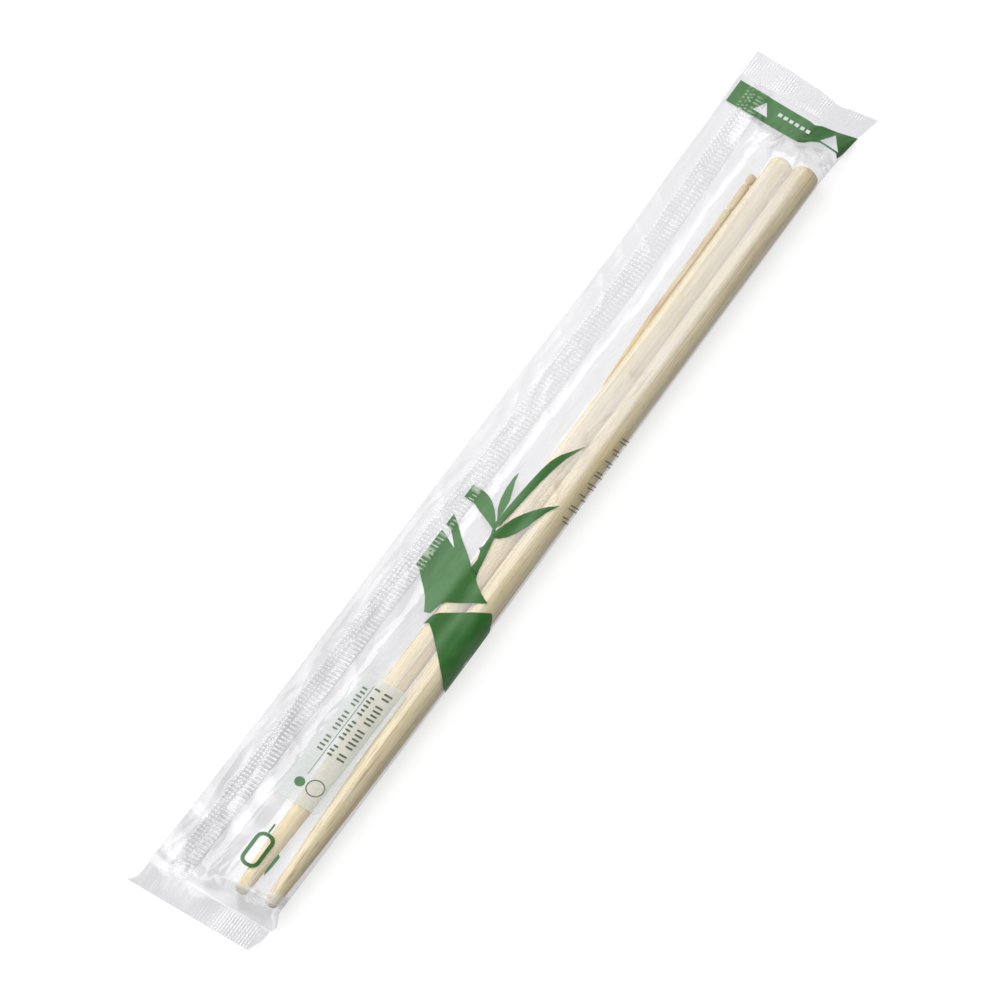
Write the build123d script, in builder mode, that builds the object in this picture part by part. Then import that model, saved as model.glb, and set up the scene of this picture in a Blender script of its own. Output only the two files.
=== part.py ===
from build123d import *
from math import sqrt
import os

# A wrapped set of bamboo chopsticks, lying on its underside as it would on a table.
# Two round sticks and a turned toothpick lie loose in a sleeve of clear film. The film is
# one sheet: folded round the sticks, welded to itself in a ribbed seam along the upper
# side, and crimped flat across both ends.
# Millimetres. X runs across the pack, Y along it with the opening end at +Y, Z is up.
# The origin is at the middle of the underside.

os.makedirs("parts", exist_ok=True)

# The pack is this wide across its flared end seals. Its length follows from the sticks.
pack_width = 31.9
half_width = pack_width / 2

# The film. The real one is 0.03 thick, and is drawn thicker so that it stays a closed wall.
film_wall = 0.1
flat_gap = 0.2              # between the two webs where they lie on each other
flat_height = 2 * film_wall + flat_gap
film_clearance = 0.15       # room between the film and what it wraps
rest_gap = 0.05             # room under a piece that lies on the lower web

# The chopsticks
stick_length = 210.0
thick_stick_diameter = 6.1
thin_stick_diameter = 5.3
stick_tip_diameter = 2.9
stick_taper_length = 75.0
stick_butt_bevel = 0.9
stick_tip_bevel = 0.6
stick_taper_steps = 2       # the taper is turned in straight cones, steeper towards the tip
stick_gap = 0.1             # between the two sticks at their butts
thick_stick_drift = 2.7     # how far across the pack each axis moves, from butt to tip
thin_stick_drift = 1.5
edge_margin = 0.05          # from the sleeve's right side to the widest point of the pack
butt_room = 14.3            # from the thick stick's butt to the opening seal
tip_room = 4.0              # from its tip to the closing seal
thin_stick_lag = 0.6        # how much lower down the pack the thin stick lies

# The toothpick
pick_length = 61.0
pick_diameter = 1.7
pick_knob_diameter = 1.9
pick_groove_depth = 0.2
pick_groove_width = 0.5
pick_knob_length = 2.0
pick_second_groove = 10.0   # from the head's end to the second groove
pick_shank_length = 42.0    # from the head's end to where the point starts
pick_point_diameter = 0.3
pick_knob_bevel = 0.4
pick_head_gap = 4.2         # from the thin stick's axis to the toothpick's, at its head
pick_drift = 1.6
pick_inset = 6.2            # from the thick stick's butt to the head's end

# The end seals, each narrower on one side where it meets the sleeve
opening_seal_length = 6.8
closing_seal_length = 5.9
weld_width = 0.6            # the plain weld line at each seal's inner edge
seal_overlap = 0.3
crimp_pitch = 0.66
crimp_depth = 0.12
opening_narrowing = 2.1     # how far the right side draws in across the opening seal
closing_narrowing = 1.8     # how far the left side draws in across the closing seal
closing_corner_inset = 1.3  # how far the right cut corner lies inside the widest point
opening_corner_inset = 0.8
cut_edge_dip = 1.9          # the wave in the opening end's cut edge: its dip,
cut_edge_dip_place = 6.6    # the dip's place across the pack,
cut_edge_sag = 0.8          # the depth at the middle,
cut_corner_drop = 0.5       # and at the right corner

# The ribbed seam that closes the tube, folded flat to the left
seam_base = 0.12            # thickness of the folded strip under its ribs
seam_rib_height = 0.2
seam_rib_pitch = 1.05
seam_wide_column = 2.8      # widths of its two bands of ribs, and of the plain line between
seam_narrow_column = 2.2
seam_column_gap = 0.3
seam_drift = 2.3            # how far the seam wanders left at the opening end
seam_bend = 60.0            # from the opening end to where it runs straight

# The sleeve's left fold, and the foot of the slope that leads up to the sticks
opening_fold_inset = 0.15
neck_fold_inset = 0.5
body_fold_inset = 1.8
waist_fold_inset = 2.2
foot_room = 4.2             # from the toothpick's head to the foot of the slope
foot_clearance = 0.5        # from there to the seam
foot_swing = 1.4            # how far the creases push the foot to the right

# What follows from the sizes above
thick_radius = thick_stick_diameter / 2
thin_radius = thin_stick_diameter / 2
radius_step = thick_radius - thin_radius
axis_spacing = sqrt((thick_radius + thin_radius + stick_gap) ** 2 - radius_step ** 2)
straight_length = stick_length - stick_taper_length
pack_length = opening_seal_length + butt_room + stick_length + tip_room + closing_seal_length
half_length = pack_length / 2
thick_butt_y = half_length - opening_seal_length - butt_room
thin_butt_y = thick_butt_y - thin_stick_lag
opening_seal_y = half_length - opening_seal_length
closing_seal_y = closing_seal_length - half_length

# Where the sleeve's sections lie over the sticks, as distances from their butts
past_butts = -film_clearance
first_crease = stick_length / 5
middle_crease = stick_length / 2
taper_start = straight_length
taper_middle = stick_length - stick_taper_length / 2
near_tips = stick_length - stick_taper_length / 6
past_tips = stick_length + film_clearance


def lying_height(diameter):
    """Height of the axis of a round piece that lies on the lower web."""
    return film_wall + rest_gap + diameter / 2


def tapered_radius(diameter, distance):
    """Radius of a stick at a distance from its butt."""
    along_taper = max(0, distance - straight_length) / stick_taper_length
    return diameter / 2 - (diameter - stick_tip_diameter) / 2 * along_taper ** 2


def crown_height(diameter, distance):
    """Height of the film's outer face over a stick, at a distance from its butt."""
    side_room = film_clearance + film_wall
    return lying_height(diameter) + tapered_radius(diameter, distance) + side_room


def thick_side_reach(distance):
    """How far right of the thick stick's butt the sleeve's side lies."""
    drift = thick_stick_drift * distance / stick_length
    return drift + crown_height(thick_stick_diameter, distance) / 2


# The sleeve's widest section sets where the thick stick lies, and the thin one lies beside it
widest_reach = max(thick_side_reach(place) for place in (taper_start, taper_middle, near_tips))
thick_butt_x = half_width - edge_margin - widest_reach
thin_butt_x = thick_butt_x - axis_spacing
pick_head_x = thin_butt_x - pick_head_gap

# The toothpick sets where the slope ends, and the seam lies left of that
seam_foot = pick_head_x - pick_knob_diameter / 2 - foot_room
seam_right = seam_foot - foot_clearance
seam_left = seam_right - seam_wide_column - seam_column_gap - seam_narrow_column


def lying_plane(x, y, diameter, drift, length):
    """Plane along a lying piece. Its x axis runs along the piece, from head to tip."""
    return Plane(
        origin=(x, y, lying_height(diameter)),
        x_dir=(drift, -sqrt(length ** 2 - drift ** 2), 0),
        z_dir=(0, 0, 1),
    )


def chopstick(plane, diameter):
    """Turn one stick: bevelled butt, straight body, long taper, blunt bevelled tip."""
    taper = []
    for step in range(stick_taper_steps + 1):
        place = straight_length + stick_taper_length * step / stick_taper_steps
        taper.append((place, tapered_radius(diameter, place)))
    with BuildPart() as stick:
        with BuildSketch(plane) as profile:
            with BuildLine():
                Polyline((0, 0), (0, diameter / 2), *taper, (stick_length, 0), close=True)
            make_face()
            butt_rim = profile.vertices().group_by(Axis.X)[0].sort_by(Axis.Y)[-1]
            chamfer(butt_rim, stick_butt_bevel)
            tip_rim = profile.vertices().group_by(Axis.X)[-1].sort_by(Axis.Y)[-1]
            chamfer(tip_rim, stick_tip_bevel)
        revolve(axis=Axis(plane.origin, plane.x_dir))
    return stick.part


# The thick chopstick, on the right
thick_plane = lying_plane(
    thick_butt_x, thick_butt_y, thick_stick_diameter, thick_stick_drift, stick_length
)
with BuildPart() as chopstick_right:
    add(chopstick(thick_plane, thick_stick_diameter))

# The thin chopstick, beside it
thin_plane = lying_plane(
    thin_butt_x, thin_butt_y, thin_stick_diameter, thin_stick_drift, stick_length
)
with BuildPart() as chopstick_left:
    add(chopstick(thin_plane, thin_stick_diameter))

# The toothpick: a turned head with two grooves, a straight body and a sharp point
pick_head_y = thick_butt_y - pick_inset
pick_plane = lying_plane(pick_head_x, pick_head_y, pick_knob_diameter, pick_drift, pick_length)
with BuildPart() as toothpick:
    with BuildSketch(pick_plane) as pick_profile:
        with BuildLine():
            groove_end = pick_knob_length + pick_groove_width
            Polyline(
                (0, 0),
                (0, pick_knob_diameter / 2),
                (pick_knob_length, pick_knob_diameter / 2),
                (groove_end, pick_diameter / 2),
                (pick_shank_length, pick_diameter / 2),
                (pick_length, pick_point_diameter / 2),
                (pick_length, 0),
                close=True,
            )
        make_face()
        knob_rim = pick_profile.vertices().group_by(Axis.X)[0].sort_by(Axis.Y)[-1]
        chamfer(knob_rim, pick_knob_bevel)
        for groove_place in (groove_end, pick_second_groove):
            with BuildLine():
                Polyline(
                    (groove_place - pick_groove_width / 2, pick_knob_diameter),
                    (groove_place - pick_groove_width / 2, pick_diameter / 2),
                    (groove_place, pick_diameter / 2 - pick_groove_depth),
                    (groove_place + pick_groove_width / 2, pick_diameter / 2),
                    (groove_place + pick_groove_width / 2, pick_knob_diameter),
                    close=True,
                )
            make_face(mode=Mode.SUBTRACT)
    revolve(axis=Axis(pick_plane.origin, pick_plane.x_dir))


def sleeve_section(y, fold_x, foot_x, thin_crown, thin_x, thick_crown, thick_x, inset):
    """One closed section of the sleeve, inset from the film's outer face.

    It runs along the table, round the thick stick, across to the thin stick's crown,
    down a slope to the flat part on the left, and back under the fold.
    """
    with BuildSketch(Plane.XZ.offset(-y)) as section:
        with BuildLine():
            Line((fold_x + inset, inset), (thick_x, inset))
            ThreePointArc(
                (thick_x, inset),
                (thick_x + thick_crown / 2 - inset, thick_crown / 2),
                (thick_x, thick_crown - inset),
            )
            Line((thick_x, thick_crown - inset), (thin_x, thin_crown - inset))
            Spline(
                (thin_x, thin_crown - inset),
                (foot_x, flat_height - inset),
                tangents=((-1, 0), (-1, 0)),
            )
            Polyline(
                (foot_x, flat_height - inset),
                (fold_x + inset, flat_height - inset),
                (fold_x + inset, inset),
            )
        make_face()
    return section.sketch


def body_section(distance, fold_inset, foot_push, inset):
    """A section where the film lies over both sticks, at a distance from their butts."""
    return sleeve_section(
        thick_butt_y - distance,
        fold_inset - half_width,
        seam_foot + foot_push,
        crown_height(thin_stick_diameter, distance),
        thin_butt_x + thin_stick_drift * distance / stick_length,
        crown_height(thick_stick_diameter, distance),
        thick_butt_x + thick_stick_drift * distance / stick_length,
        inset,
    )


def flat_section(y, fold_inset, right_inset, inset):
    """A section where the sleeve has come down flat, at an end seal."""
    right_x = half_width - right_inset - flat_height / 2
    return sleeve_section(
        y,
        fold_inset - half_width,
        seam_foot,
        flat_height,
        right_x - axis_spacing,
        flat_height,
        right_x,
        inset,
    )


def sleeve_body(inset, end_inset):
    """Sections of the sleeve's outer face, or of its inside, from seal to seal."""
    opening_y = opening_seal_y - end_inset
    closing_y = closing_seal_y + end_inset
    return [
        flat_section(opening_y, opening_fold_inset, opening_narrowing, inset),
        body_section(past_butts, neck_fold_inset, 0, inset),
        body_section(first_crease, body_fold_inset, foot_swing, inset),
        body_section(middle_crease, body_fold_inset, 0, inset),
        body_section(taper_start, waist_fold_inset, foot_swing, inset),
        body_section(taper_middle, waist_fold_inset, 0, inset),
        body_section(near_tips, waist_fold_inset, 0, inset),
        body_section(past_tips, waist_fold_inset, 0, inset),
        flat_section(closing_y, closing_narrowing, edge_margin, inset),
    ]


def crimped_strip(y_start, length):
    """A strip of crimped film across the whole width, its ribs along the pack."""
    steps = 2 * round(half_width / crimp_pitch) + 2
    low = [(i * crimp_pitch / 2, crimp_depth * (i % 2)) for i in range(-steps, steps + 1)]
    rise = flat_height - crimp_depth
    high = [(x, z + rise) for x, z in reversed(low)]
    with BuildPart() as strip:
        with BuildSketch(Plane.XZ.offset(-y_start)):
            with BuildLine():
                Polyline(*low, *high, close=True)
            make_face()
        extrude(amount=-length)
    return strip.part


# The seal at the opening end, cut with a slightly wavy edge
with BuildPart() as opening_seal:
    add(crimped_strip(opening_seal_y - seal_overlap, opening_seal_length + seal_overlap))
    with BuildSketch() as opening_outline:
        with BuildLine():
            inner_y = opening_seal_y - seal_overlap
            inner_left = (opening_fold_inset - half_width, inner_y)
            inner_right = (half_width - opening_narrowing, inner_y)
            cut_left = (-half_width, half_length)
            cut_right = (half_width - opening_corner_inset, half_length - cut_corner_drop)
            Line(inner_left, cut_left)
            Spline(
                cut_left,
                (0, half_length - cut_edge_sag),
                (cut_edge_dip_place, half_length - cut_edge_dip),
                cut_right,
            )
            Polyline(cut_right, inner_right, inner_left)
        make_face()
    extrude(amount=flat_height, mode=Mode.INTERSECT)

# The seal at the closing end, cut straight
with BuildPart() as closing_seal:
    add(crimped_strip(-half_length, closing_seal_length + seal_overlap))
    with BuildSketch() as closing_outline:
        with BuildLine():
            Polyline(
                (-half_width, -half_length),
                (half_width - closing_corner_inset, -half_length),
                (half_width, closing_seal_y),
                (half_width, closing_seal_y + seal_overlap),
                (closing_narrowing - half_width, closing_seal_y + seal_overlap),
                (closing_narrowing - half_width, closing_seal_y),
                close=True,
            )
        make_face()
    extrude(amount=flat_height, mode=Mode.INTERSECT)


def seam_band(left, right):
    """Plan of one band of the seam, which wanders left towards the opening end."""
    bend_y = half_length - seam_bend
    Polyline(
        (left, closing_seal_y),
        (right, closing_seal_y),
        (right, bend_y),
        (right - seam_drift, opening_seal_y),
        (left - seam_drift, opening_seal_y),
        (left, bend_y),
        close=True,
    )


# The seam's ribs: teeth across the strip, cut into a narrow and a wide band
with BuildPart() as seam_ribs:
    with BuildSketch(Plane.YZ.offset(seam_left - seam_drift)):
        with BuildLine():
            tooth_start = closing_seal_y - seam_rib_pitch
            tooth_count = round((opening_seal_y - tooth_start) / seam_rib_pitch) + 1
            tooth_end = tooth_start + tooth_count * seam_rib_pitch
            rib_foot = flat_height + seam_base
            rib_root = rib_foot - film_wall / 2
            teeth = []
            for i in range(tooth_count):
                foot = (tooth_start + i * seam_rib_pitch, rib_foot)
                peak = (tooth_start + (i + 0.5) * seam_rib_pitch, rib_foot + seam_rib_height)
                teeth += [foot, peak]
            Polyline(*teeth, (tooth_end, rib_foot), (tooth_end, rib_root), (tooth_start, rib_root), close=True)
        make_face()
    extrude(amount=seam_right - seam_left + seam_drift)
    with BuildSketch(Plane.XY.offset(rib_root)):
        with BuildLine():
            seam_band(seam_right - seam_wide_column, seam_right)
        make_face()
        with BuildLine():
            seam_band(seam_left, seam_left + seam_narrow_column)
        make_face()
    extrude(amount=film_wall + seam_rib_height, mode=Mode.INTERSECT)

# The film sleeve: tube, end seals and seam in one piece
with BuildPart() as film_sleeve:
    loft(sections=sleeve_body(0, 0), ruled=True)
    add(opening_seal.part)
    add(closing_seal.part)
    with BuildSketch(Plane.XY.offset(flat_height - film_wall / 2)):
        with BuildLine():
            seam_band(seam_left, seam_right)
        make_face()
    extrude(amount=seam_base + film_wall / 2)
    add(seam_ribs.part)
    loft(sections=sleeve_body(film_wall, weld_width), ruled=True, mode=Mode.SUBTRACT)

chopstick_right.part.label = "chopstick_right"
export_step(chopstick_right.part, "parts/chopstick_right.step")

chopstick_left.part.label = "chopstick_left"
export_step(chopstick_left.part, "parts/chopstick_left.step")

toothpick.part.label = "toothpick"
export_step(toothpick.part, "parts/toothpick.step")

film_sleeve.part.label = "film_sleeve"
export_step(film_sleeve.part, "parts/film_sleeve.step")
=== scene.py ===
"""Looks of a wrapped set of bamboo chopsticks, built around its packed solids.

Two round sticks and a turned toothpick lie in a sleeve of clear film. The film has an
embossed back seam, crimped end seals and green printing. Lengths are millimetres until a
piece is finished, and then its mesh is scaled to metres.
"""
from math import asin, atan2, cos, floor, hypot, pi, radians, sin, tan

import bmesh
import bpy
from bpy.props import FloatProperty, FloatVectorProperty, PointerProperty
from mathutils import Matrix, Vector, noise


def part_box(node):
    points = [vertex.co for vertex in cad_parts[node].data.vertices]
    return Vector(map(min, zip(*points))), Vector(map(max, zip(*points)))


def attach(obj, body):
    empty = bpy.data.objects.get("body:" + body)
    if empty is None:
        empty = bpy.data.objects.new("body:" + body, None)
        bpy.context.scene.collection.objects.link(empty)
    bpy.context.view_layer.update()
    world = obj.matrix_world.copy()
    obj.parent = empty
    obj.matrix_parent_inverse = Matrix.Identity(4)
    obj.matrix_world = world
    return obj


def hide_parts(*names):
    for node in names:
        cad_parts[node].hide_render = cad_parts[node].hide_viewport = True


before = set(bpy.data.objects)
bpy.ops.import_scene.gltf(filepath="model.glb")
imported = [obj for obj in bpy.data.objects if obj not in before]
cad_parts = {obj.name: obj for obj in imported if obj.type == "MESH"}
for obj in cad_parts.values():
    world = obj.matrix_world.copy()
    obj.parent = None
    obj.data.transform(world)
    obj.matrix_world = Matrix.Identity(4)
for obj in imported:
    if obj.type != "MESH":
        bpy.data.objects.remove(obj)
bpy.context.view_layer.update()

bl_info = {
    "name": "Wrapped bamboo chopsticks",
    "version": (1, 0, 0),
    "blender": (4, 5, 0),
    "location": "View3D > Sidebar > Chopsticks",
    "description": "Builds the film, printing, bamboo and stage of a wrapped chopstick set",
    "category": "Add Mesh",
}

MM = 0.001


def box_mm(node):
    """Lowest and highest corner of a CAD node, in millimetres."""
    low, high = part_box(node)
    return Vector(low) / MM, Vector(high) / MM


PACK_LOW, PACK_HIGH = box_mm("film_sleeve")
THICK_LOW, THICK_HIGH = box_mm("chopstick_right")
THIN_LOW, THIN_HIGH = box_mm("chopstick_left")
PICK_LOW, PICK_HIGH = box_mm("toothpick")

HALF_WIDTH = PACK_HIGH.x
HALF_LENGTH = PACK_HIGH.y
THICK_RADIUS = (THICK_HIGH.z - THICK_LOW.z) / 2
THIN_RADIUS = (THIN_HIGH.z - THIN_LOW.z) / 2
PICK_RADIUS = (PICK_HIGH.z - PICK_LOW.z) / 2
THICK_BUTT = Vector((THICK_LOW.x + THICK_RADIUS, THICK_HIGH.y, (THICK_LOW.z + THICK_HIGH.z) / 2))
THIN_BUTT = Vector((THIN_LOW.x + THIN_RADIUS, THIN_HIGH.y, (THIN_LOW.z + THIN_HIGH.z) / 2))
PICK_HEAD = Vector((PICK_LOW.x + PICK_RADIUS, PICK_HIGH.y, (PICK_LOW.z + PICK_HIGH.z) / 2))

# The camera looks from this side. A point at height z is seen where a point of the table
# lies that is moved by these shares of z.
CAMERA_AZIMUTH = radians(33.5)
CAMERA_ELEVATION = radians(60.59)
SEEN_SHIFT_X = sin(CAMERA_AZIMUTH) / tan(CAMERA_ELEVATION)
SEEN_SHIFT_Y = cos(CAMERA_AZIMUTH) / tan(CAMERA_ELEVATION)
# How far under its side the camera sees the round right edge, as a share of the half turn
CAMERA_SIGHT = atan2(SEEN_SHIFT_X, 1) / pi

# Seen places are measured across the pack from its left side and along it from its opening
# end. A unit of them is this many millimetres, and these are the places of the pack's middle
# line, in units, and of its opening end, in millimetres.
SEEN_UNIT = 0.984
SEEN_MIDDLE = 16.5
SEEN_START_Y = 119.85


def linear(code):
    """An sRGB hex colour as linear red, green, blue and alpha."""
    parts = [int(code[i:i + 2], 16) / 255 for i in (1, 3, 5)]
    return [c / 12.92 if c < 0.04045 else ((c + 0.055) / 1.055) ** 2.4 for c in parts] + [1.0]


def number(name, value, text, **more):
    """A setting that is a size or another number."""
    return FloatProperty(name=name, description=text, default=value, **more)


def colour(name, code, text):
    """A colour setting, given as a hex code."""
    return FloatVectorProperty(
        name=name, description=text, subtype="COLOR", size=4, min=0, max=1, default=linear(code)
    )


class FilmSettings(bpy.types.PropertyGroup):
    """Sizes and colours of the film sleeve, in millimetres."""

    flat_height: number("Flat height", 0.4, "Height of the upper web where it lies flat")
    clearance: number("Clearance", 0.25, "Room between the film and the sticks")
    crease_height: number("Crease height", 0.5, "Height of the creases on the slack film")
    crimp_pitch: number("Crimp pitch", 0.66, "Distance between the ribs of the end seals")
    crimp_depth: number("Crimp depth", 0.07, "Depth of the ribs of the end seals")
    seam_pitch: number("Seam pitch", 1.05, "Distance between rows of the embossed seam")
    seam_depth: number("Seam depth", 0.14, "Height of the embossed dashes")
    tint: colour("Film tint", "#F9F9FA", "What the clear film lets through")
    # Painted shade: the darker tint below greys the film where painted shade is laid on, standing in for
    # shade and darker reflections.
    painted_shade_tint: colour("Dull film tint", "#EBEBEC", "What it lets through where it is dullest")
    # The haze colour shows the film's slight real haze and its painted highlights.
    haze: colour("Film haze", "#F6F5F5", "Milky scatter of the clear film")


class BambooSettings(bpy.types.PropertyGroup):
    """Sizes and colours of the sticks and the toothpick, in millimetres."""

    thick_drift: number("Thick stick drift", 2.7, "How far its axis moves across the pack")
    thin_drift: number("Thin stick drift", 1.5, "How far its axis moves across the pack")
    pick_drift: number("Toothpick drift", 1.6, "How far its axis moves across the pack")
    stick_length: number("Stick length", 210.0, "Length of a chopstick")
    taper_length: number("Taper", 75.0, "Length of a stick's taper")
    tip_diameter: number("Tip diameter", 2.9, "Diameter of a stick's tip")
    thin_bow: number("Thin stick bow", 0.35, "How far it bends towards the thick one")
    thick_bow: number("Thick stick bow", -0.25, "How far it bends towards the thin one")
    pick_length: number("Toothpick length", 61.0, "Length of the toothpick")
    fibre_width: number("Fibre width", 0.34, "Width of a bamboo fibre bundle")
    pale: colour("Pale bamboo", "#FBEFCB", "Soft tissue between the fibres")
    straw: colour("Straw bamboo", "#F0DDA2", "Average tone of the cut culm")
    fibre: colour("Fibre", "#B48F48", "Darker fibre bundles")
    pick_tone: colour("Toothpick", "#EED79C", "Tone of the toothpick")
    pick_stain: colour("Toothpick stain", "#CE9674", "Pinkish brown streaks of the toothpick")


class PrintSettings(bpy.types.PropertyGroup):
    """Colours of the printing."""

    green: colour("Green ink", "#2B6224", "Green ink where the film lies on something")
    # The paler ink colours in this group show clouds of thin ink and a painted reflection veil where the
    # film stands off the sticks.
    veiled_and_thin_ink: colour("Faint green", "#5A8457", "Green ink where the film stands off")
    white: colour("White ink", "#EEF2EF", "Milky ink of the panel")
    veiled_and_thin_white: colour("Thin white ink", "#DCE3DE", "Milky ink where it is thinnest")
    dark: colour("Dark ink", "#38492F", "Ink of the small marks")
    veiled_and_thin_dark: colour("Thin dark ink", "#66745C", "Dark ink where it is thinnest")
    lift: number("Ink height", 0.1, "How far the ink lies over the film's face")


class StageSettings(bpy.types.PropertyGroup):
    """Camera, floor and lamps."""

    lens: number("Lens", 500.0, "Focal length, in millimetres")
    distance: number("Distance", 2930.0, "From the camera to the pack, in millimetres")
    aim_left: number("Aim left", 2.13, "How far left of the pack the camera aims")
    aim_down: number("Aim down", 1.24, "How far below the pack the camera aims")
    floor_side: number("Floor", 4.0, "Side of the floor", unit="LENGTH")
    key_power: number("Key lamp", 20.5, "Power of the key lamp", unit="POWER")
    fill_power: number("Fill lamp", 22.0, "Power of the fill lamp", unit="POWER")
    world_level: number("World", 0.24, "Strength of the light from all sides")


GROUPS = {
    "film_sizes": FilmSettings,
    "bamboo_sizes": BambooSettings,
    "print_inks": PrintSettings,
    "stage_setup": StageSettings,
}


def setting(group):
    """One of the scene's groups of settings."""
    return getattr(bpy.context.scene, group)


# Small helpers


def mixed(low, high, share):
    """The value at a share of the way from low to high."""
    return low + (high - low) * share


def clamped(value, low=0.0, high=1.0):
    return max(low, min(high, value))


def eased(share):
    """A share from 0 to 1 with soft ends."""
    share = clamped(share)
    return share * share * (3 - 2 * share)


def ramp(value, start, end):
    """0 before start and 1 past end, with a soft step between."""
    return eased((value - start) / (end - start))


def window(value, start, end, edge):
    """1 from start to end, falling to 0 within edge outside them."""
    return ramp(value, start - edge, start) * (1 - ramp(value, end, end + edge))


def from_table(table, place):
    """A value read from a table of places and values, with soft steps between them."""
    if place <= table[0][0]:
        return table[0][1]
    for (start, low), (end, high) in zip(table, table[1:]):
        if place <= end:
            return mixed(low, high, eased((place - start) / (end - start)))
    return table[-1][1]


def add_node(tree, kind, inputs=None, **settings):
    """Add a node with its settings, and give each input its value or its link."""
    node = tree.nodes.new(kind)
    for name, value in settings.items():
        setattr(node, name, value)
    for socket, value in (inputs or {}).items():
        if isinstance(value, bpy.types.NodeSocket):
            tree.links.new(value, node.inputs[socket])
        else:
            node.inputs[socket].default_value = value
    return node


def new_material(name):
    """An empty material and its tree of nodes."""
    material = bpy.data.materials.new(name)
    material.use_nodes = True
    material.node_tree.nodes.clear()
    return material, material.node_tree


def stretched_noise(tree, across, along, detail=2.0, roughness=0.5):
    """Noise whose grains have these sizes in millimetres across and along the pack."""
    place = add_node(tree, "ShaderNodeTexCoord").outputs["Object"]
    scale = (1 / (across * MM), 1 / (along * MM), 1 / (across * MM))
    mapping = add_node(tree, "ShaderNodeMapping", {"Vector": place, "Scale": scale})
    inputs = {
        "Vector": mapping.outputs["Vector"], "Scale": 1.0, "Detail": detail, "Roughness": roughness,
    }
    return add_node(tree, "ShaderNodeTexNoise", inputs).outputs["Fac"]


# The colour sockets of a Mix node, which has others of the same names
MIX_FIRST = 6
MIX_SECOND = 7
MIX_RESULT = 2


def laid_over(tree, under, over, pattern, low=0.0, high=1.0, cover=1.0):
    """Lay one colour over another, from where a pattern passes low to where it reaches high."""
    ends = {"From Min": low, "From Max": high, "To Max": cover}
    share = add_node(tree, "ShaderNodeMapRange", {"Value": pattern, **ends}).outputs["Result"]
    inputs = {"Factor": share, MIX_FIRST: under, MIX_SECOND: over}
    return add_node(tree, "ShaderNodeMix", inputs, data_type="RGBA").outputs[MIX_RESULT]


def seen_directly(tree):
    """1 for the rays that show what lies behind the part, and 0 for those that light it."""
    rays = add_node(tree, "ShaderNodeLightPath").outputs
    direct = rays["Is Camera Ray"]
    for kind in ("Is Glossy Ray", "Is Transmission Ray"):
        both = {0: direct, 1: rays[kind]}
        direct = add_node(tree, "ShaderNodeMath", both, operation="MAXIMUM").outputs["Value"]
    return direct


def finish_piece(bm, name, material, replaced=()):
    """Turn a bmesh in millimetres into a piece of the part."""
    bmesh.ops.scale(bm, vec=(MM, MM, MM), verts=bm.verts)
    mesh = bpy.data.meshes.new(name)
    for face in bm.faces:
        face.smooth = True
    bm.to_mesh(mesh)
    bm.free()
    piece = bpy.data.objects.new(name, mesh)
    bpy.context.scene.collection.objects.link(piece)
    mesh.materials.append(material)
    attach(piece, "root")
    for node in replaced:
        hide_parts(node)
    return piece


# The shape of the upper web


# Inner edges of the seals, and how far the sleeve's side draws in across each of them
SEAL_OPENING = HALF_LENGTH - 6.8
SEAL_CLOSING = 5.9 - HALF_LENGTH
OPENING_NARROWING = 2.1
CLOSING_NARROWING = 1.8
EDGE_MARGIN = 0.05
AXIS_SPACING = THICK_BUTT.x - THIN_BUTT.x

# How far the left fold lies from the pack's side, and how far the creases push the foot of
# the slope beside the toothpick to the right, both at places along the pack
FOLD_INSETS = (
    (-117.0, 1.8), (-114.6, 1.75), (-108.0, 2.0), (-70.0, 2.25), (-40.0, 2.15), (-10.0, 1.85),
    (30.0, 1.7), (60.0, 1.65), (96.0, 0.75), (113.7, 0.2), (120.0, 0.15),
)
FOOT_PUSHES = (
    (-114.6, 0.0), (-90.0, 0.6), (-36.0, 1.4), (-6.0, 0.2), (30.0, 0.6), (57.0, 1.4), (99.0, 0.0),
)
FOOT_X = PICK_HEAD.x - PICK_RADIUS - 4.2

# The back seam lies left of the foot and wanders to the left at the opening end
SEAM_RIGHT = FOOT_X - 0.5
SEAM_WIDTH = 5.3
SEAM_DRIFT = 2.3
SEAM_BEND_Y = HALF_LENGTH - 60
# Its dashes: three narrow columns, a plain line, and one wide column
NARROW_DASH = 0.8
NARROW_DASHES_END = 2.4
WIDE_DASH_START = 2.6
WIDE_DASH_MIDDLE = 3.95
STAGGER_Y = HALF_LENGTH - 35

# The tube comes down to the seals over this length, and they are this thick
END_RAMP = 2.2
WELDED_THICKNESS = 0.03


def tapered_radius(radius, distance):
    """Radius of a stick at a distance from its butt."""
    sizes = setting("bamboo_sizes")
    straight = sizes.stick_length - sizes.taper_length
    share = clamped((distance - straight) / sizes.taper_length)
    return mixed(radius, sizes.tip_diameter / 2, share * share)


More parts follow.
